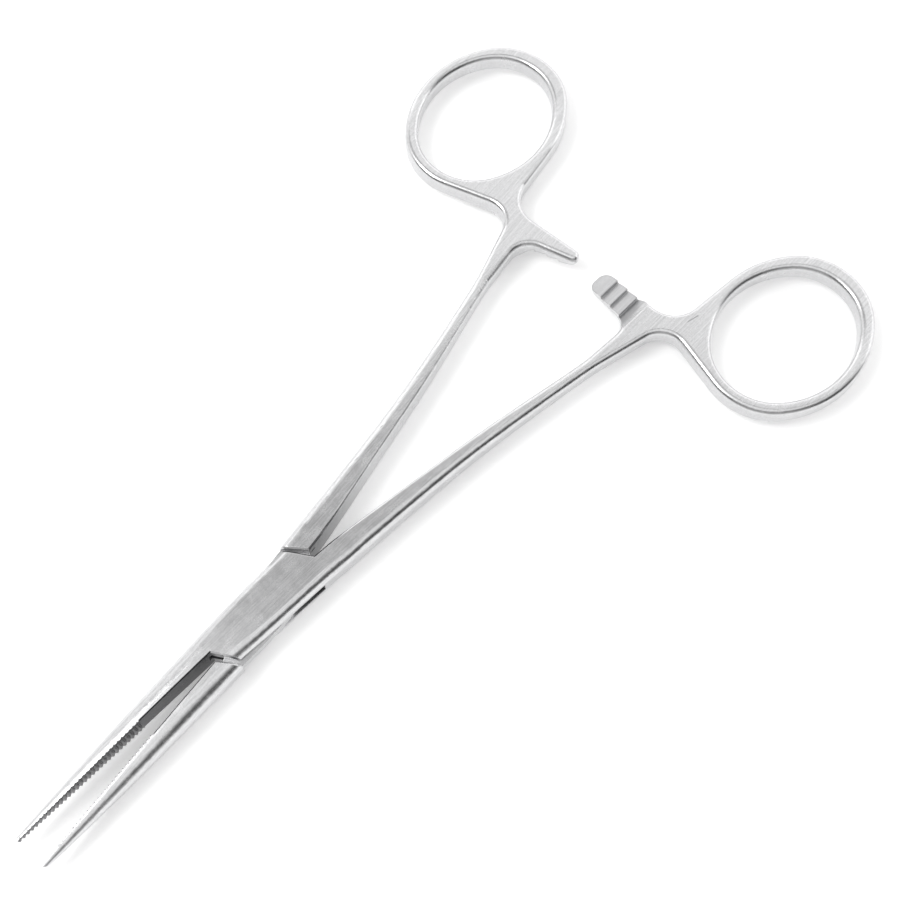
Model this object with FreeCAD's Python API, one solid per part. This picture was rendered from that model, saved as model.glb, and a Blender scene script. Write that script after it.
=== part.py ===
import FreeCAD, Part
import math
import os
from FreeCAD import Vector

os.makedirs("parts", exist_ok=True)

# Every size is in millimetres. Both halves are drawn in one closed frame.
# The pivot axis is x = y = 0 and the middle of the thickness is z = 0.
# A half has its jaw on +Y and its shank and ring on -Y, the ring toward +X.
# The tongue half is drawn the same way and then mirrored in the plane y = 0.

# Overall
BOX_HEIGHT = 5.0
REST_OPENING = 5.74

# Jaws
JAW_LENGTH = 44.8
JAW_TIP_WIDTH = 0.57
JAW_TIP_HEIGHT = 1.0
JAW_WIDTH_CURVE = 1.5
JAW_HEIGHT_CURVE = 2.0
JAW_SECTION_START = 5.0
JAW_SECTION_REACH = 12.0
JAW_ROUND_ACROSS = 0.78
JAW_ROUND_UP = 0.86
JAW_STATIONS = (1.03, 0.86, 0.68, 0.50, 0.33, 0.17, 0.05)
JAW_FACE_RELIEF = 0.10
JAW_EDGE_BREAK = 0.15
SERRATION_START = 23.8
SERRATION_PITCH = 0.67
SERRATION_DEPTH = 0.30
SERRATION_CREST = 0.08

# Box lock
BOX_WIDTH = 7.2
BOX_EDGE_ROUND = 1.3
ROOT_LENGTH = 10.5
ROOT_WIDTH = 4.07
ROOT_WIDTH_CURVE = 1.3
ROOT_HEIGHT = 4.84
CHEEK_REACH_SHANK = 6.43
CHEEK_REACH_JAW = 9.52
CHEEK_ANGLE_SHANK = 33.5
CHEEK_ANGLE_JAW = 31.5
SHOULDER_GAP_SHANK = 0.27
SHOULDER_GAP_JAW = 0.36
LOCK_EDGE_BREAK = 0.25
SLOT_HEIGHT = 1.70
SLOT_MOUTH = 6.2
SLOT_END_JAW = 12.0
SLOT_END_SHANK = 8.5
TONGUE_CLEARANCE = 0.04
TONGUE_SETBACK = 0.15
TONGUE_FACE = 0.6
TONGUE_OVERLAP = 1.0
TONGUE_TUCK = 0.3
PIN_DIAMETER = 3.0
PIN_CLEARANCE = 0.03

# Shank from the box to the neck
# Columns: share of the way, inner face, outer face, height, outer round, inner round
SHANK_LENGTH = 57.0
SHANK_FACE_GAP = 0.15
SHANK = (
    (0.00, 0.28, ROOT_WIDTH, ROOT_HEIGHT, BOX_EDGE_ROUND, LOCK_EDGE_BREAK),
    (0.10, 0.80, 4.27, 4.70, 1.28, 0.28),
    (0.29, 1.93, 4.76, 4.42, 1.20, 0.34),
    (0.51, 3.18, 5.56, 4.02, 1.08, 0.45),
    (0.72, 4.62, 6.76, 3.64, 0.96, 0.60),
    (0.89, 5.95, 7.90, 3.40, 0.88, 0.76),
)

# Neck and ring, with x counted from the end of the shank
RING_HEIGHT = 3.3
RING_EDGE_ROUND = 0.85
OPENING_CENTRE = (22.85, -25.1)
OPENING_LENGTH = 24.0
OPENING_WIDTH = 19.75
OPENING_TILT = -3.4
RING_CENTRE = (23.15, -25.1)
RING_LENGTH = 28.9
RING_WIDTH = 23.8
RING_TILT = -1.0
NECK_START = (-6.68, -8.77)
NECK_FRONT = (11.8, -11.6)
NECK_FRONT_ROUND = 3.7
NECK_REAR = (12.55, -12.2)
NECK_REAR_ROUND = 4.6
NECK_FORK = (8.6, -7.15)
NECK_FORK_ROUND = 3.2

# Ratchet arm, with x counted from the end of the shank
ARM_END_FEMALE = ((9.35, 1.6), (13.1, 1.6))
ARM_END_MALE = ((10.45, 1.85), (12.4, 1.0))
ARM_CORNER_FEMALE = 1.5
ARM_CORNER_MALE = 0.95
ARM_END_REACH = 3.0
TOOTH_PITCH = 2.0
TOOTH_COUNT = 3
TOOTH_FIRST = 1.0
TOOTH_CREST = 0.25
TOOTH_FALL = 0.55
TOOTH_STEEP = 0.10
ARM_RUN_OUT = 2.4

# Cutting prisms reach this far beyond the piece they cut
FAR = 3 * BOX_WIDTH


def half_width(x):
    """Half the width of the closed jaws, box and shank roots at a distance x from the pivot."""
    box = BOX_WIDTH / 2
    if x < 0:
        return box - (box - JAW_TIP_WIDTH) * (-x / JAW_LENGTH) ** JAW_WIDTH_CURVE
    return box + (ROOT_WIDTH - box) * (x / ROOT_LENGTH) ** ROOT_WIDTH_CURVE


def half_height(x):
    """Half the height of the closed jaws, box and shank roots."""
    box = BOX_HEIGHT / 2
    if x < 0:
        return box - (BOX_HEIGHT - JAW_TIP_HEIGHT) / 2 * (-x / JAW_LENGTH) ** JAW_HEIGHT_CURVE
    return box + (ROOT_HEIGHT / 2 - box) * (x / ROOT_LENGTH) ** 2


def corner(start, turn, end):
    """A quarter of an ellipse that leaves start and reaches end, tangent to the lines to turn."""
    curve = Part.BezierCurve()
    curve.setPoles([start, turn, end])
    curve.setWeight(2, math.sqrt(0.5))
    return curve.toShape()


def section(x, low, high, height, low_round, high_round):
    """A closed section across X from y = low to y = high with rounded corners."""
    ly, lz = low_round
    hy, hz = high_round
    h = height
    points = [
        Vector(x, low + ly, -h), Vector(x, high - hy, -h), Vector(x, high, -h + hz),
        Vector(x, high, h - hz), Vector(x, high - hy, h), Vector(x, low + ly, h),
        Vector(x, low, h - lz), Vector(x, low, -h + lz),
    ]
    turns = [Vector(x, high, -h), Vector(x, high, h), Vector(x, low, h), Vector(x, low, -h)]
    edges = []
    for i in range(4):
        a, b, c = points[2 * i], points[2 * i + 1], points[(2 * i + 2) % 8]
        edges.append(Part.makeLine(a, b))
        edges.append(corner(b, turns[i], c))
    return Part.Wire(edges)


def envelope():
    """The closed jaws, box and shank roots as one smooth solid, symmetric in y and z."""
    stations = [-JAW_LENGTH * share for share in JAW_STATIONS]
    stations += [0.4 * ROOT_LENGTH, ROOT_LENGTH]
    wires = []
    for x in stations:
        w = half_width(x)
        h = half_height(x)
        jaw = min(1.0, max(0.0, (-x - JAW_SECTION_START) / JAW_SECTION_REACH))
        across = BOX_EDGE_ROUND + jaw * (JAW_ROUND_ACROSS * w - BOX_EDGE_ROUND)
        up = BOX_EDGE_ROUND + jaw * (JAW_ROUND_UP * h - BOX_EDGE_ROUND)
        wires.append(section(x, -w, w, h, (across, up), (across, up)))
    return Part.makeLoft(wires, True, False)


def prism(points, height=4 * BOX_HEIGHT, bends=None):
    """An upright prism centred on z = 0. A side listed in bends is an arc through that point."""
    corners = [Vector(x, y, -height / 2) for x, y in points]
    edges = []
    for i, start in enumerate(corners):
        end = corners[(i + 1) % len(corners)]
        if bends and i in bends:
            middle = Vector(bends[i][0], bends[i][1], -height / 2)
            edges.append(Part.Arc(start, middle, end).toShape())
        else:
            edges.append(Part.makeLine(start, end))
    return Part.Face(Part.Wire(edges)).extrude(Vector(0, 0, height))


def lock_x(reach, angle, y):
    """The x at height y of the line that faces the pivot at a distance and angle."""
    a = math.radians(angle)
    return (reach - y * math.sin(a)) / math.cos(a)


def shank_shoulder(y, gap=0.0):
    """The x of the shoulder at the shank end of the box, a gap further out."""
    return lock_x(CHEEK_REACH_SHANK + gap, CHEEK_ANGLE_SHANK, y)


def jaw_shoulder(y, gap=0.0):
    """The x of the shoulder at the jaw end of the box, a gap further out."""
    return -lock_x(CHEEK_REACH_JAW + gap, CHEEK_ANGLE_JAW, -y)


def jaw_outline(box_end):
    """The outline of one jaw: rounded tip, serrated face, relieved face, then the box end."""
    r = JAW_TIP_WIDTH + SERRATION_CREST
    tip = (-JAW_LENGTH + r, r - SERRATION_CREST)
    bend = (tip[0] - r * math.sqrt(0.5), tip[1] - r + r * math.sqrt(0.5))
    points = [
        (tip[0], FAR), tip, (-JAW_LENGTH, -SERRATION_CREST),
        (-SERRATION_START, -SERRATION_CREST), (-SERRATION_START, JAW_FACE_RELIEF),
    ]
    return points + box_end, {1: bend}


def female_root(body):
    """The jaw and box of the box half: one width of the closed envelope."""
    outline, bends = jaw_outline([
        (jaw_shoulder(JAW_FACE_RELIEF), JAW_FACE_RELIEF),
        (jaw_shoulder(-FAR / 2), -FAR / 2),
        (ROOT_LENGTH, -FAR / 2),
        (ROOT_LENGTH, -SHANK[0][1]),
        (shank_shoulder(-SHANK_FACE_GAP), -SHANK_FACE_GAP),
        (shank_shoulder(FAR / 3), FAR / 3),
        (shank_shoulder(FAR / 3), FAR),
    ])
    return body.common(prism(outline, bends=bends))


def male_jaw(body):
    """The full height jaw of the tongue half, up to its shoulder at the box."""
    gap = SHOULDER_GAP_JAW
    outline, bends = jaw_outline([
        (jaw_shoulder(-JAW_FACE_RELIEF, gap), JAW_FACE_RELIEF),
        (jaw_shoulder(-FAR / 2, gap), FAR / 2),
        (jaw_shoulder(-FAR / 2, gap), FAR),
    ])
    return body.common(prism(outline, bends=bends))


def male_root(body):
    """The full height shank root of the tongue half, from its shoulder at the box."""
    gap = SHOULDER_GAP_SHANK
    outline = [
        (shank_shoulder(FAR / 3, gap), -FAR / 3),
        (shank_shoulder(SHANK_FACE_GAP, gap), -SHANK_FACE_GAP),
        (ROOT_LENGTH, -SHANK[0][1]),
        (ROOT_LENGTH, -FAR / 3),
    ]
    return body.common(prism(outline))


def wall_edges(shape):
    """Level edges of the upright flat walls, of the gripping face and of the box, apart."""
    jaw, lock = {}, {}
    for face in shape.Faces:
        if face.Surface.TypeId != "Part::GeomPlane":
            continue
        normal = face.normalAt(0, 0)
        if abs(normal.z) > 0.001 or abs(normal.x) > 0.999:
            continue
        gripping = abs(normal.y) > 0.999
        for edge in face.Edges:
            span = edge.Vertexes[-1].Point - edge.Vertexes[0].Point
            if abs(span.z) < 0.3 * span.Length:
                (jaw if gripping else lock)[edge.hashCode()] = edge
    return list(jaw.values()), list(lock.values())


def broken_edges(shape):
    """Bevels the gripping face narrowly and the walls of the box more widely."""
    jaw, lock = wall_edges(shape)
    if lock:
        shape = shape.makeChamfer(LOCK_EDGE_BREAK, lock)
    jaw, lock = wall_edges(shape)
    if jaw:
        shape = shape.makeChamfer(JAW_EDGE_BREAK, jaw)
    return shape


def serrated(jaw, crest, shift):
    """Cuts the row of transverse V grooves across the gripping face."""
    count = int((JAW_LENGTH - SERRATION_START) / SERRATION_PITCH) + 2
    points = []
    for i in range(count):
        x = -SERRATION_START - (i + shift) * SERRATION_PITCH
        points.append((x, crest))
        points.append((x - SERRATION_PITCH / 2, crest + SERRATION_DEPTH))
    last = points[-1][0] - SERRATION_PITCH / 2
    points += [(last, crest), (last, -FAR), (points[0][0], -FAR)]
    return jaw.cut(prism(points))


def slot():
    """The way for the tongue through the box, open at both mouths."""
    rise = FAR / (BOX_WIDTH / 2)
    jaw_out = -SLOT_END_JAW + (SLOT_END_JAW - SLOT_MOUTH) * rise
    shank_out = SLOT_END_SHANK - (SLOT_END_SHANK - SLOT_MOUTH) * rise
    outline = [
        (-SLOT_END_JAW, 0), (jaw_out, FAR), (2 * ROOT_LENGTH, FAR), (2 * ROOT_LENGTH, 0),
        (SLOT_END_SHANK, 0), (shank_out, -FAR), (-2 * ROOT_LENGTH, -FAR), (-2 * ROOT_LENGTH, 0),
    ]
    return prism(outline, SLOT_HEIGHT)


def side(x):
    """The edge of the tongue, set back from the side of the box."""
    return half_width(x) - TONGUE_SETBACK


def tongue():
    """The flat tongue that joins jaw and shank of the tongue half through the slot."""
    jaw_x = jaw_shoulder(-TONGUE_FACE, SHOULDER_GAP_JAW)
    jaw_end = jaw_x - TONGUE_OVERLAP
    shank_x = shank_shoulder(0, SHOULDER_GAP_SHANK)
    shank_end = shank_x + TONGUE_OVERLAP
    outline = [
        (jaw_end, TONGUE_FACE), (jaw_x, TONGUE_FACE), (0, -side(0)),
        (shank_x / 2, -side(shank_x / 2)), (shank_end, -side(shank_x)),
        (shank_end, -SHANK_FACE_GAP), (shank_x, -SHANK_FACE_GAP), (0, side(0)),
        (jaw_x / 2, side(jaw_x / 2)), (jaw_x, side(jaw_x) - TONGUE_TUCK / 2),
        (jaw_end, side(jaw_end) - TONGUE_TUCK),
    ]
    return prism(outline, SLOT_HEIGHT - 2 * TONGUE_CLEARANCE)


def face_at(shape, x):
    """The flat face of a shape in the plane at x."""
    for face in shape.Faces:
        if abs(face.BoundBox.XMin - x) < 0.001 and abs(face.BoundBox.XMax - x) < 0.001:
            return face


def shank(root, neck):
    """The tapering bar between the box and the neck, through its stations."""
    wires = [face_at(root, ROOT_LENGTH).OuterWire]
    for share, inner, outer, height, outer_round, inner_round in SHANK[1:]:
        x = ROOT_LENGTH + share * (SHANK_LENGTH - ROOT_LENGTH)
        wires.append(section(x, -outer, -inner, height / 2, (outer_round, outer_round),
                             (inner_round, inner_round)))
    wires.append(face_at(neck, SHANK_LENGTH).OuterWire)
    return Part.makeLoft(wires, True, False)


class Oval:
    """A four centre oval in plan: two end arcs and two side arcs, tangent to each other."""

    def __init__(self, centre, length, width, tilt):
        a, b = length / 2, width / 2
        root = math.hypot(a, b)
        self.end_radius = (root * root - (a - b) * root) / length
        self.side_radius = (root * root + (a - b) * root) / width
        turn = math.radians(tilt)
        along = Vector(math.cos(turn), math.sin(turn), 0)
        across = Vector(-math.sin(turn), math.cos(turn), 0)
        middle = Vector(SHANK_LENGTH + centre[0], centre[1], 0)
        self.right = middle + along * (a - self.end_radius)
        self.left = middle - along * (a - self.end_radius)
        self.upper = middle - across * (self.side_radius - b)
        self.lower = middle + across * (self.side_radius - b)
        self.ends = [middle + along * a, middle - along * a]
        self.sides = [middle + across * b, middle - across * b]

    def joint(self, side, end):
        """Where a side arc runs into an end arc."""
        return end + (end - side).normalize() * self.end_radius


def arc(start, middle, end):
    """An arc through three points."""
    return Part.Arc(start, middle, end).toShape()


def on_circle(centre, radius, start, end):
    """The arc of a circle from start to end, the short way."""
    middle = (start + end) * 0.5 - centre
    return arc(start, centre + middle.normalize() * radius, end)


def touch(point, centre, radius, sign):
    """Where a line from a point touches a circle, on the side that sign picks."""
    span = centre - point
    turn = sign * math.acos(radius / span.Length)
    back = (span * -1).normalize() * radius
    return centre + Vector(back.x * math.cos(turn) - back.y * math.sin(turn),
                           back.x * math.sin(turn) + back.y * math.cos(turn), 0)


def from_neck(points):
    """Points of the neck or arm in the closed frame."""
    return [Vector(SHANK_LENGTH + x, y, 0) for x, y in points]


def upright_edge(shape, place):
    """The upright edge of a shape at a place in plan."""
    return [edge for edge in shape.Edges
            if edge.BoundBox.ZLength > 0.9 * RING_HEIGHT and math.hypot(
                edge.CenterOfMass.x - place.x, edge.CenterOfMass.y - place.y) < 0.001]


def neck_and_ring(arm_end, arm_corner):
    """The neck, the ring and the blank of the ratchet arm in one outline of full height."""
    ring = Oval(RING_CENTRE, RING_LENGTH, RING_WIDTH, RING_TILT)
    left_end, right_end, rear, front, outer, inner, fork = from_neck(
        (*arm_end, NECK_REAR, NECK_FRONT, (0, NECK_START[1]), (0, NECK_START[0]), NECK_FORK))
    top = touch(rear, ring.upper, ring.side_radius, -1)
    bottom = touch(front, ring.left, ring.end_radius, 1)
    joints = [ring.joint(ring.upper, ring.right), ring.joint(ring.lower, ring.right),
              ring.joint(ring.lower, ring.left)]
    edges = [
        Part.makeLine(rear, top),
        on_circle(ring.upper, ring.side_radius, top, joints[0]),
        arc(joints[0], ring.ends[0], joints[1]),
        arc(joints[1], ring.sides[1], joints[2]),
        on_circle(ring.left, ring.end_radius, joints[2], bottom),
    ]
    corners = [bottom, front, outer, inner, fork, left_end, right_end, rear]
    edges += [Part.makeLine(a, b) for a, b in zip(corners, corners[1:])]
    blank = Part.Face(Part.Wire(edges)).extrude(Vector(0, 0, RING_HEIGHT))
    rounds = ((left_end, arm_corner), (right_end, arm_corner), (fork, NECK_FORK_ROUND),
              (rear, NECK_REAR_ROUND), (front, NECK_FRONT_ROUND))
    for place, radius in rounds:
        blank = blank.makeFillet(radius, upright_edge(blank, place))
    blank = blank.cut(opening_prism())
    blank.translate(Vector(0, 0, -RING_HEIGHT / 2))
    rims = [e for e in blank.Edges
            if e.BoundBox.ZLength < 0.001 and e.BoundBox.XMax > SHANK_LENGTH + 0.001]
    return blank.makeFillet(RING_EDGE_ROUND, rims)


def opening_prism():
    """The finger opening as an upright prism."""
    hole = Oval(OPENING_CENTRE, OPENING_LENGTH, OPENING_WIDTH, OPENING_TILT)
    corners = [hole.joint(hole.upper, hole.right), hole.joint(hole.lower, hole.right),
               hole.joint(hole.lower, hole.left), hole.joint(hole.upper, hole.left)]
    edges = [
        arc(corners[0], hole.ends[0], corners[1]), arc(corners[1], hole.sides[1], corners[2]),
        arc(corners[2], hole.ends[1], corners[3]), arc(corners[3], hole.sides[0], corners[0]),
    ]
    return Part.Face(Part.Wire(edges)).extrude(Vector(0, 0, RING_HEIGHT))


def toothed(blank, up):
    """Cuts the arm to half its height with a row of saw teeth, facing up or down."""
    fall = TOOTH_FALL / TOOTH_PITCH
    top = RING_HEIGHT
    profile = [(ARM_END_REACH, top), (ARM_END_REACH, TOOTH_CREST - fall * (
        ARM_END_REACH + TOOTH_FIRST))]
    for i in range(TOOTH_COUNT):
        y = -TOOTH_FIRST - i * TOOTH_PITCH
        profile.append((y, TOOTH_CREST))
        profile.append((y - TOOTH_STEEP, TOOTH_CREST - TOOTH_FALL + fall * TOOTH_STEEP))
    root = profile[-1][0] - ARM_RUN_OUT
    profile += [(root, RING_HEIGHT / 2 + TOOTH_STEEP), (root, top)]
    sign = 1 if up else -1
    x = SHANK_LENGTH + NECK_FORK[0] / 2
    points = [Vector(x, y, sign * z) for y, z in profile]
    face = Part.Face(Part.makePolygon(points + points[:1]))
    return blank.cut(face.extrude(Vector(2 * NECK_FORK[0], 0, 0)))


def joined(root, neck):
    """Root, shank, neck and ring as one forging."""
    return root.fuse([shank(root, neck), neck]).removeSplitter()


def bore(diameter):
    """A round hole through the box on the pivot axis."""
    return Part.makeCylinder(diameter / 2, 2 * BOX_HEIGHT, Vector(0, 0, -BOX_HEIGHT))


def box_half():
    """The half that carries the box, with its slot and pin hole."""
    root = broken_edges(female_root(envelope()))
    neck = toothed(neck_and_ring(ARM_END_FEMALE, ARM_CORNER_FEMALE), True)
    half = joined(root.cut(slot()), neck)
    half = half.cut(bore(PIN_DIAMETER))
    return serrated(half, -SERRATION_CREST, 0.0)


def tongue_half():
    """The half whose flat tongue passes through the box, on its own side of the mirror."""
    body = envelope()
    jaw = broken_edges(male_jaw(body))
    root = broken_edges(male_root(body))
    neck = toothed(neck_and_ring(ARM_END_MALE, ARM_CORNER_MALE), False)
    half = joined(root, neck).fuse([jaw, tongue()])
    half = half.cut(bore(PIN_DIAMETER + 2 * PIN_CLEARANCE))
    half = serrated(half, -SERRATION_CREST, -0.5)
    return half.mirror(Vector(0, 0, 0), Vector(0, 1, 0))


def pivot_pin():
    """The riveted pin, flush with both faces of the box."""
    return Part.makeCylinder(PIN_DIAMETER / 2, BOX_HEIGHT, Vector(0, 0, -BOX_HEIGHT / 2))


def save(shape, name, turn):
    """Turns a piece to the resting pose, lifts it onto the floor and writes it."""
    shape = shape.copy()
    shape.rotate(Vector(0, 0, 0), Vector(0, 0, 1), turn)
    shape.translate(Vector(0, 0, BOX_HEIGHT / 2))
    shape.exportStep("parts/" + name + ".step")
    return shape


save(box_half(), "box_half", -REST_OPENING / 2)
save(pivot_pin(), "pivot_pin", -REST_OPENING / 2)
save(tongue_half(), "tongue_half", REST_OPENING / 2)
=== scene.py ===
"""Hemostat forceps: the finish of the steel, the stage and the camera."""

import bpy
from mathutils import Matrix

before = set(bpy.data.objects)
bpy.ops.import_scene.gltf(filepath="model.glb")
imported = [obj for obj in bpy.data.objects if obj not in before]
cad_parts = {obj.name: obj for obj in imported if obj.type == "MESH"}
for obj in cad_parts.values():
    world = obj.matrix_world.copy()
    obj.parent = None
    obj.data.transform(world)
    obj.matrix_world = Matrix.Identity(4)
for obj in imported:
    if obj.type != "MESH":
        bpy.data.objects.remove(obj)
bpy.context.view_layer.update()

import math

import bpy
from mathutils import Vector

bl_info = {
    "name": "Hemostat forceps",
    "version": (1, 0, 0),
    "blender": (4, 5, 0),
    "location": "View3D > Sidebar > Forceps",
    "description": "Brushed steel forceps on a pale studio floor",
    "category": "Object",
}

MM = 0.001

# Level directions from the pivot: to the wall past the rings, and to the camera's side.
RING_END = (0.954, 0.300, 0.0)
NEAR_SIDE = (-0.7535, -0.6575, 0.0)

# Where the painted shade on the gripping face and the shank's root, and each finish, begin and
# where they are full: along a half from the pivot, with the jaws at minus values, and aside from
# the half's middle line.
GRIP_ALONG, GRIP_ASIDE = (-8 * MM, -9 * MM), (0.6 * MM, 0.4 * MM)
ROOT_START, ROOT_END = (2 * MM, 3 * MM), (25 * MM, 11 * MM)
TEETH_ALONG, TEETH_ASIDE = (58 * MM, 59 * MM), (6.8 * MM, 6.4 * MM)
CRESTS_ALONG, CRESTS_ASIDE = (55 * MM, 58 * MM), (9 * MM, 7 * MM)
PIN_RIM = (1.7 * MM, 2.0 * MM)

# The same for the way a face is turned: the part of its normal that points to the gripping
# side, which is below zero for the shank's root, or to the side of the teeth.
GRIP_TURNED, ROOT_TURNED, TEETH_TURNED = (0.35, 0.60), (-0.35, -0.80), (0.1, 0.3)

# The scratch: its middle, its angle, and how it fades at its ends and its two sides.
SCRATCH_PLACE, SCRATCH_TURN = (71.36 * MM, -17.25 * MM, 0), math.radians(-16.2)
SCRATCH_ENDS, SCRATCH_SIDES = (1, 0.7), (1, 0.4)

# How far each of these takes the dark milled colour, where the gripping face does so in full. On
# the shank's root this is painted shade, on the teeth and the scratch the steel's own colour.
ROOT_SHADE_SHARE, TEETH_SHARE, SCRATCH_SHARE = 0.55, 0.28, 0.45

# The share of each pattern in the tone of the steel, and the part of their sum that is used.
MOTTLE_SHARE, GRAIN_SHARE, STREAK_SHARE = 0.20, 0.25, 0.55
TONE_SPAN = (0.34, 0.66)

# Roughness of satin steel from its smoothest to its roughest patches, the part of the mottle
# that it follows, and what the unbrushed teeth add to it.
SATIN_LEAST, SATIN_MOST, PATCH_SPAN, TEETH_ROUGHER = 0.22, 0.29, (0.3, 0.7), 0.15

# How strongly the brush lines stand out, and how many rays feel for an edge.
RELIEF_STRENGTH, EDGE_SAMPLES = 0.35, 6

# The room's plain level, what each of its areas adds to it, and what the dark wall takes.
ROOM_LEVEL = 0.46
BRIGHT_WALL, PAST_WALL, FAR_WALL, NEAR_CEILING = 0.88, -0.48, 0.64, 0.60
DARK_WALL = -0.90

# The stage: lengths in metres, power in watts, lens and sensor in millimetres.
FLOOR_GLOW = 0.24
SOFTBOX_PLACE, SOFTBOX_AIM = Vector((-0.36, 0.42, 0.75)), Vector((0.03, 0.0, 0.0))
SOFTBOX_SIDE, SOFTBOX_POWER = 0.42, 3.6
CAMERA_AIM, CAMERA_RISE = Vector((32.51, -3.59, 2.5)) * MM, math.radians(67.41)
CAMERA_LENS, CAMERA_SENSOR, CAMERA_CLIP = 55.5, 36.0, 0.005


def linear(code):
    """The linear colour of an sRGB hex value."""
    parts = [int(code[i:i + 2], 16) / 255 for i in (1, 3, 5)]
    return [p / 12.92 if p <= 0.04045 else ((p + 0.055) / 1.055) ** 2.4 for p in parts]


def node(tree, kind, inputs=None, **settings):
    """Adds one node with its settings, and gives each input a value or a link to a socket."""
    new = tree.nodes.new(kind)
    for name, value in settings.items():
        setattr(new, name, value)
    for place, value in (inputs or {}).items():
        if isinstance(value, bpy.types.NodeSocket):
            tree.links.new(value, new.inputs[place])
        else:
            new.inputs[place].default_value = value
    return new


def empty_tree(owner):
    """The cleared node tree of a material or world."""
    owner.use_nodes = True
    owner.node_tree.nodes.clear()
    return owner.node_tree


def where(tree, *spans):
    """One where each value has gone from its start to its end, with a smooth rise between."""
    share = 1.0
    for value, start, end in spans:
        rise = node(tree, "ShaderNodeMapRange",
                    {"Value": value, "From Min": start, "From Max": end},
                    interpolation_type="SMOOTHSTEP")
        share = node(tree, "ShaderNodeMath", {0: share, 1: rise.outputs[0]},
                     operation="MULTIPLY").outputs[0]
    return share


class ForcepsSizes(bpy.types.PropertyGroup):
    """Sizes of the finish and the stage."""
    turn: bpy.props.FloatProperty(
        name="Turn of a half", description="Angle of each half from the middle line at rest",
        default=math.radians(2.87), subtype="ANGLE")
    streak_length: bpy.props.FloatProperty(
        name="Brush line length", description="Length of one brush line on the steel",
        default=9 * MM, subtype="DISTANCE", unit="LENGTH")
    streak_width: bpy.props.FloatProperty(
        name="Brush line width", description="Width of one brush line on the steel",
        default=0.14 * MM, subtype="DISTANCE", unit="LENGTH")
    streak_depth: bpy.props.FloatProperty(
        name="Brush line depth", description="Depth of one brush line in the steel",
        default=0.004 * MM, subtype="DISTANCE", unit="LENGTH")
    grain_size: bpy.props.FloatProperty(
        name="Grain size", description="Size of the fine grain of the satin finish",
        default=0.25 * MM, subtype="DISTANCE", unit="LENGTH")
    mottle_size: bpy.props.FloatProperty(
        name="Mottle size", description="Size of the cloudy patches left by polishing",
        default=2.2 * MM, subtype="DISTANCE", unit="LENGTH")
    edge_round: bpy.props.FloatProperty(
        name="Edge round", description="Radius of the tumbled edges in the finish",
        default=0.12 * MM, subtype="DISTANCE", unit="LENGTH")
    crest_round: bpy.props.FloatProperty(
        name="Crest round", description="Extra radius of the worn crests of the ratchet",
        default=0.16 * MM, subtype="DISTANCE", unit="LENGTH")
    scratch_length: bpy.props.FloatProperty(
        name="Scratch length", description="Length of the scratch on the box half's neck",
        default=2.3 * MM, subtype="DISTANCE", unit="LENGTH")
    scratch_width: bpy.props.FloatProperty(
        name="Scratch width", description="Width of the scratch on the box half's neck",
        default=0.26 * MM, subtype="DISTANCE", unit="LENGTH")
    camera_distance: bpy.props.FloatProperty(
        name="Camera distance", description="Distance from the camera to its aim",
        default=198.3 * MM, subtype="DISTANCE", unit="LENGTH")
    floor_reach: bpy.props.FloatProperty(
        name="Floor reach", description="Half the side of the studio floor",
        default=1.5, subtype="DISTANCE", unit="LENGTH")


class ForcepsColours(bpy.types.PropertyGroup):
    """Colours of the steel and of the stage."""
    steel: bpy.props.FloatVectorProperty(
        name="Steel", description="Colour of the brushed stainless steel",
        default=linear("#e0e0e1"), size=3, subtype="COLOR", min=0, max=1)
    steel_dark: bpy.props.FloatVectorProperty(
        name="Steel in the brush lines", description="Colour of the darker brush lines",
        default=linear("#c9c9ca"), size=3, subtype="COLOR", min=0, max=1)
    # This colour is painted shade on the gripping face and the shank's root, and the steel's own
    # dull colour on the milled teeth and in the scratch.
    milled_and_shaded: bpy.props.FloatVectorProperty(
        name="Milled steel", description="Colour of the dull faces left as they were milled",
        default=linear("#58585a"), size=3, subtype="COLOR", min=0, max=1)
    floor: bpy.props.FloatVectorProperty(
        name="Floor", description="Colour of the studio floor",
        default=linear("#e2e2e2"), size=3, subtype="COLOR", min=0, max=1)
    floor_seen: bpy.props.FloatVectorProperty(
        name="Floor as seen", description="Colour of the floor to the camera and in the steel",
        default=linear("#fafafa"), size=3, subtype="COLOR", min=0, max=1)


def painted_shade_faces(tree, normal, along, aside, facing):
    """How far painted shade darkens the steel: the milled gripping face in full, the shank's
    root in part, as both mirror the shaded floor between the jaws and the shanks.
    """
    side = node(tree, "ShaderNodeMath", {0: normal.outputs["Y"], 1: facing},
                operation="MULTIPLY").outputs[0]
    grip = where(tree, (side, *GRIP_TURNED), (aside, *GRIP_ASIDE), (along, *GRIP_ALONG))
    root = where(tree, (side, *ROOT_TURNED), (along, *ROOT_END), (along, *ROOT_START))
    root = node(tree, "ShaderNodeMath", {0: root, 1: ROOT_SHADE_SHARE},
                operation="MULTIPLY").outputs[0]
    return node(tree, "ShaderNodeMath", {0: grip, 1: root}, operation="MAXIMUM").outputs[0]


def ratchet_teeth(tree, normal, along, aside, facing):
    """Where the toothed face of the ratchet is: on top of one half, underneath the other."""
    upward = node(tree, "ShaderNodeMath", {0: normal.outputs["Z"], 1: -facing},
                  operation="MULTIPLY").outputs[0]
    return where(tree, (upward, *TEETH_TURNED), (along, *TEETH_ALONG), (aside, *TEETH_ASIDE))


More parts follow.
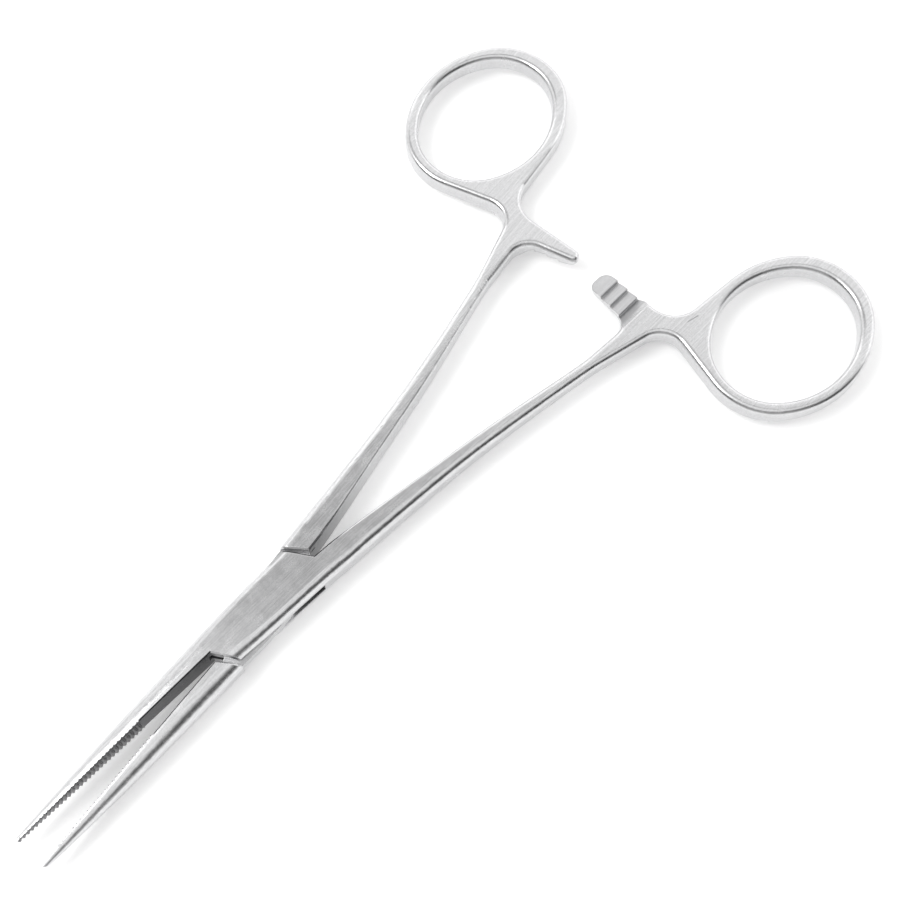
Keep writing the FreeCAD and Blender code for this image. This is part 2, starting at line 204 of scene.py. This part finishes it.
def scratch(tree, place, sizes):
    """How far a point lies in the scratch across the box half's neck."""
    line = node(tree, "ShaderNodeMapping",
                {"Vector": place, "Location": SCRATCH_PLACE, "Rotation": (0, 0, SCRATCH_TURN),
                 "Scale": (sizes.scratch_length / 2, sizes.scratch_width / 2, 1)},
                vector_type="TEXTURE").outputs[0]
    line = node(tree, "ShaderNodeVectorMath", {0: line}, operation="ABSOLUTE").outputs[0]
    line = node(tree, "ShaderNodeSeparateXYZ", {0: line})
    return where(tree, (line.outputs["X"], *SCRATCH_ENDS), (line.outputs["Y"], *SCRATCH_SIDES))


def brushed_steel(name, turn, facing, sizes, colours, scratched=False):
    """Satin brushed martensitic stainless steel, ground along the length of the half, with
    painted shade on its gripping face and its shank's root.
    """
    # Grinding and satin brushing leave fine lines along the piece and a soft, grey gloss, and
    # tumbling after it rounds the edges, which then catch the light.
    material = bpy.data.materials.new(name)
    tree = empty_tree(material)
    place = node(tree, "ShaderNodeTexCoord").outputs["Object"]
    lengthwise = node(tree, "ShaderNodeMapping",
                      {"Vector": place, "Rotation": (0, 0, turn)}).outputs[0]
    # Brush lines and grain of about 0.03 mm are finer than a pixel, so they are drawn wider.
    lines = node(tree, "ShaderNodeMapping",
                 {"Vector": lengthwise,
                  "Scale": (1 / sizes.streak_length, 1 / sizes.streak_width,
                            1 / sizes.streak_width)}).outputs[0]
    streaks = node(tree, "ShaderNodeTexNoise",
                   {"Vector": lines, "Scale": 1.0, "Detail": 3.0,
                    "Roughness": 0.7}).outputs["Fac"]
    grain = node(tree, "ShaderNodeTexNoise",
                 {"Vector": lengthwise, "Scale": 1 / sizes.grain_size, "Detail": 2.0,
                  "Roughness": 0.6}).outputs["Fac"]
    mottle = node(tree, "ShaderNodeTexNoise",
                  {"Vector": lengthwise, "Scale": 1 / sizes.mottle_size, "Detail": 5.0,
                   "Roughness": 0.7}).outputs["Fac"]
    mixed = 0.0
    for pattern, share in ((mottle, MOTTLE_SHARE), (grain, GRAIN_SHARE),
                           (streaks, STREAK_SHARE)):
        mixed = node(tree, "ShaderNodeMath", {0: pattern, 1: share, 2: mixed},
                     operation="MULTIPLY_ADD").outputs[0]
    tone = node(tree, "ShaderNodeMix",
                {0: where(tree, (mixed, *TONE_SPAN)), 6: (*colours.steel_dark, 1.0),
                 7: (*colours.steel, 1.0)}, data_type="RGBA").outputs[2]
    part = node(tree, "ShaderNodeSeparateXYZ", {0: lengthwise})
    along = part.outputs["X"]
    aside = node(tree, "ShaderNodeMath", {0: part.outputs["Y"]}, operation="ABSOLUTE").outputs[0]
    normal = node(tree, "ShaderNodeSeparateXYZ",
                  {0: node(tree, "ShaderNodeTexCoord").outputs["Normal"]})
    # The ratchet teeth are cut across the arm and not brushed, so they shine less.
    teeth = ratchet_teeth(tree, normal, along, aside, facing)
    # Painted shade: the gripping face between the jaws in full and the shank's root between the
    # shanks in part take the dark milled colour, which stands in for the shaded floor and steel
    # they mirror.
    milled_and_shaded = painted_shade_faces(tree, normal, along, aside, facing)
    milled_and_shaded = node(tree, "ShaderNodeMath", {0: teeth, 1: TEETH_SHARE, 2: milled_and_shaded},
                  operation="MULTIPLY_ADD").outputs[0]
    tone = node(tree, "ShaderNodeMix",
                {0: milled_and_shaded, 6: tone, 7: (*colours.milled_and_shaded, 1.0)}, data_type="RGBA").outputs[2]
    if scratched:
        mark = node(tree, "ShaderNodeMath",
                    {0: scratch(tree, place, sizes), 1: SCRATCH_SHARE},
                    operation="MULTIPLY").outputs[0]
        tone = node(tree, "ShaderNodeMix", {0: mark, 6: tone, 7: (*colours.milled_and_shaded, 1.0)},
                    data_type="RGBA").outputs[2]
    gloss = node(tree, "ShaderNodeMapRange",
                 {"Value": mottle, "From Min": PATCH_SPAN[0], "From Max": PATCH_SPAN[1],
                  "To Min": SATIN_LEAST, "To Max": SATIN_MOST}).outputs[0]
    gloss = node(tree, "ShaderNodeMath", {0: teeth, 1: TEETH_ROUGHER, 2: gloss},
                 operation="MULTIPLY_ADD").outputs[0]
    # The pin is ground flush with the box, so its rim has no rounded edge to catch the light.
    flat = node(tree, "ShaderNodeMapping",
                {"Vector": lengthwise, "Scale": (1, 1, 0)}).outputs[0]
    rim = node(tree, "ShaderNodeVectorMath", {0: flat}, operation="LENGTH").outputs["Value"]
    crests = where(tree, (along, *CRESTS_ALONG), (aside, *CRESTS_ASIDE))
    radius = node(tree, "ShaderNodeMath",
                  {0: crests, 1: sizes.crest_round, 2: sizes.edge_round},
                  operation="MULTIPLY_ADD").outputs[0]
    radius = node(tree, "ShaderNodeMath", {0: where(tree, (rim, *PIN_RIM)), 1: radius},
                  operation="MULTIPLY").outputs[0]
    edge = node(tree, "ShaderNodeBevel", {"Radius": radius}, samples=EDGE_SAMPLES).outputs[0]
    relief = node(tree, "ShaderNodeBump",
                  {"Strength": RELIEF_STRENGTH, "Distance": sizes.streak_depth,
                   "Height": streaks, "Normal": edge}).outputs[0]
    steel = node(tree, "ShaderNodeBsdfPrincipled",
                 {"Metallic": 1.0, "Base Color": tone, "Roughness": gloss, "Normal": relief})
    node(tree, "ShaderNodeOutputMaterial", {"Surface": steel.outputs[0]})
    return material


def dress(piece, material):
    """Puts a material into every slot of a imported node's object."""
    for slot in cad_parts[piece].material_slots:
        slot.material = material


class FORCEPS_OT_halves(bpy.types.Operator):
    """Finishes the two forged halves"""
    bl_idname = "forceps.halves"
    bl_label = "Finish the two halves"

    def execute(self, context):
        sizes, colours = context.scene.forceps_sizes, context.scene.forceps_colours
        dress("box_half",
              brushed_steel("brushed_steel_box_half", sizes.turn, -1, sizes, colours,
                            scratched=True))
        dress("tongue_half",
              brushed_steel("brushed_steel_tongue_half", -sizes.turn, 1, sizes, colours))
        return {"FINISHED"}


class FORCEPS_OT_pin(bpy.types.Operator):
    """Finishes the riveted pivot pin"""
    bl_idname = "forceps.pin"
    bl_label = "Finish the pivot pin"

    def execute(self, context):
        sizes, colours = context.scene.forceps_sizes, context.scene.forceps_colours
        dress("pivot_pin", brushed_steel("brushed_steel_pin", sizes.turn, -1, sizes, colours))
        return {"FINISHED"}


class FORCEPS_OT_stage(bpy.types.Operator):
    """Lays the floor, hangs the lamp and sets the camera"""
    bl_idname = "forceps.stage"
    bl_label = "Set the stage"

    def execute(self, context):
        sizes, colours = context.scene.forceps_sizes, context.scene.forceps_colours
        for name in ("Cube", "Light", "Camera"):
            if name in bpy.data.objects:
                bpy.data.objects.remove(bpy.data.objects[name])
        self.floor(sizes.floor_reach, colours)
        self.room()
        self.softbox()
        self.camera(sizes.camera_distance)
        context.scene.view_settings.view_transform = "Standard"
        return {"FINISHED"}

    def floor(self, reach, colours):
        """A square of matt paper, white to the camera and in the steel."""
        mesh = bpy.data.meshes.new("floor")
        corners = [(-reach, -reach, 0), (reach, -reach, 0), (reach, reach, 0),
                   (-reach, reach, 0)]
        mesh.from_pydata(corners, [], [(0, 1, 2, 3)])
        # Uncoated paper scatters the light evenly: it has no gloss and shows only soft shadows.
        material = bpy.data.materials.new("matt_paper_floor")
        tree = empty_tree(material)
        path = node(tree, "ShaderNodeLightPath")
        seen = 0.0
        for ray in ("Is Camera Ray", "Is Glossy Ray", "Is Transmission Ray"):
            seen = node(tree, "ShaderNodeMath", {0: seen, 1: path.outputs[ray]},
                        operation="MAXIMUM").outputs[0]
        paper = node(tree, "ShaderNodeBsdfDiffuse", {"Color": (*colours.floor, 1.0)})
        white = node(tree, "ShaderNodeBsdfDiffuse", {"Color": (*colours.floor_seen, 1.0)})
        glow = node(tree, "ShaderNodeEmission",
                    {"Color": (1, 1, 1, 1), "Strength": FLOOR_GLOW})
        bright = node(tree, "ShaderNodeAddShader", {0: white.outputs[0], 1: glow.outputs[0]})
        mix = node(tree, "ShaderNodeMixShader",
                   {0: seen, 1: paper.outputs[0], 2: bright.outputs[0]})
        node(tree, "ShaderNodeOutputMaterial", {"Surface": mix.outputs[0]})
        mesh.materials.append(material)
        sheet = bpy.data.objects.new("floor", mesh)
        bpy.context.scene.collection.objects.link(sheet)

    def room(self):
        """A white backdrop all round, and above it walls and a ceiling from dark to bright."""
        world = bpy.data.worlds.new("studio_room")
        bpy.context.scene.world = world
        tree = empty_tree(world)
        way = node(tree, "ShaderNodeTexCoord").outputs["Generated"]
        height = node(tree, "ShaderNodeSeparateXYZ", {0: way}).outputs["Z"]
        end = node(tree, "ShaderNodeVectorMath", {0: way, 1: RING_END},
                   operation="DOT_PRODUCT").outputs["Value"]
        near = node(tree, "ShaderNodeVectorMath", {0: way, 1: NEAR_SIDE},
                    operation="DOT_PRODUCT").outputs["Value"]
        # Steel shows what it mirrors. The flat tops show the ceiling, the rounds of the near
        # edges the dark wall and those of the far edges the far wall.
        bright_wall = where(tree, (end, 0.39, 0.47))
        past_wall = where(tree, (end, 0.54, 0.62))
        far_wall = where(tree, (height, 0.78, 0.55), (near, 0.05, -0.25))
        near_ceiling = where(tree, (height, 0.80, 0.88), (near, -0.24, -0.08))
        level = ROOM_LEVEL
        for area, gain in ((bright_wall, BRIGHT_WALL), (past_wall, PAST_WALL),
                           (far_wall, FAR_WALL), (near_ceiling, NEAR_CEILING)):
            level = node(tree, "ShaderNodeMath", {0: area, 1: gain, 2: level},
                         operation="MULTIPLY_ADD").outputs[0]
        dark_wall = where(tree, (height, 0.82, 0.62), (near, -0.10, 0.20),
                          (near, 0.75, 0.58))
        kept = node(tree, "ShaderNodeMath", {0: dark_wall, 1: DARK_WALL, 2: 1.0},
                    operation="MULTIPLY_ADD").outputs[0]
        level = node(tree, "ShaderNodeMath", {0: level, 1: kept},
                     operation="MULTIPLY").outputs[0]
        # Near the horizon the backdrop is plain white, as a low view sees it past the floor.
        above = where(tree, (height, 0.14, 0.20))
        level = node(tree, "ShaderNodeMix", {0: above, 2: 1.0, 3: level},
                     data_type="FLOAT").outputs[0]
        room = node(tree, "ShaderNodeBackground",
                    {"Color": (1, 1, 1, 1), "Strength": level})
        node(tree, "ShaderNodeOutputWorld", {"Surface": room.outputs[0]})

    def softbox(self):
        """A square soft lamp high on the far side, toward the jaws."""
        lamp = bpy.data.lights.new("softbox", "AREA")
        lamp.shape = "SQUARE"
        lamp.size = SOFTBOX_SIDE
        lamp.energy = SOFTBOX_POWER
        holder = bpy.data.objects.new("softbox", lamp)
        holder.location = SOFTBOX_PLACE
        look = SOFTBOX_AIM - SOFTBOX_PLACE
        holder.rotation_euler = look.to_track_quat("-Z", "Y").to_euler()
        bpy.context.scene.collection.objects.link(holder)

    def camera(self, distance):
        """The photograph's view, steeply down on the forceps from their near side."""
        outward = Vector(NEAR_SIDE).normalized() * math.cos(CAMERA_RISE)
        back = outward + Vector((0, 0, math.sin(CAMERA_RISE)))
        lens = bpy.data.cameras.new("camera")
        lens.lens = CAMERA_LENS
        lens.sensor_width = CAMERA_SENSOR
        lens.clip_start = CAMERA_CLIP
        holder = bpy.data.objects.new("camera", lens)
        holder.location = CAMERA_AIM + back * distance
        holder.rotation_euler = (-back).to_track_quat("-Z", "Y").to_euler()
        bpy.context.scene.collection.objects.link(holder)
        bpy.context.scene.camera = holder


class FORCEPS_PT_panel(bpy.types.Panel):
    """Lists the sizes, the colours and the steps"""
    bl_idname = "FORCEPS_PT_panel"
    bl_label = "Forceps"
    bl_space_type = "VIEW_3D"
    bl_region_type = "UI"
    bl_category = "Forceps"

    def draw(self, context):
        for group in (context.scene.forceps_sizes, context.scene.forceps_colours):
            for name in group.__annotations__:
                self.layout.prop(group, name)
        for step in STEPS:
            self.layout.operator(step.bl_idname)


STEPS = (FORCEPS_OT_stage, FORCEPS_OT_halves, FORCEPS_OT_pin)
CLASSES = (ForcepsSizes, ForcepsColours, *STEPS, FORCEPS_PT_panel)


def register():
    """Registers the classes and hangs the two groups of values on the scene."""
    for item in CLASSES:
        bpy.utils.register_class(item)
    bpy.types.Scene.forceps_sizes = bpy.props.PointerProperty(type=ForcepsSizes)
    bpy.types.Scene.forceps_colours = bpy.props.PointerProperty(type=ForcepsColours)


def unregister():
    """Takes the groups and the classes away again."""
    del bpy.types.Scene.forceps_colours
    del bpy.types.Scene.forceps_sizes
    for item in reversed(CLASSES):
        bpy.utils.unregister_class(item)


def main():
    """Runs every step."""
    register()
    bpy.ops.forceps.stage()
    bpy.ops.forceps.halves()
    bpy.ops.forceps.pin()


if __name__ == "__main__":
    main()
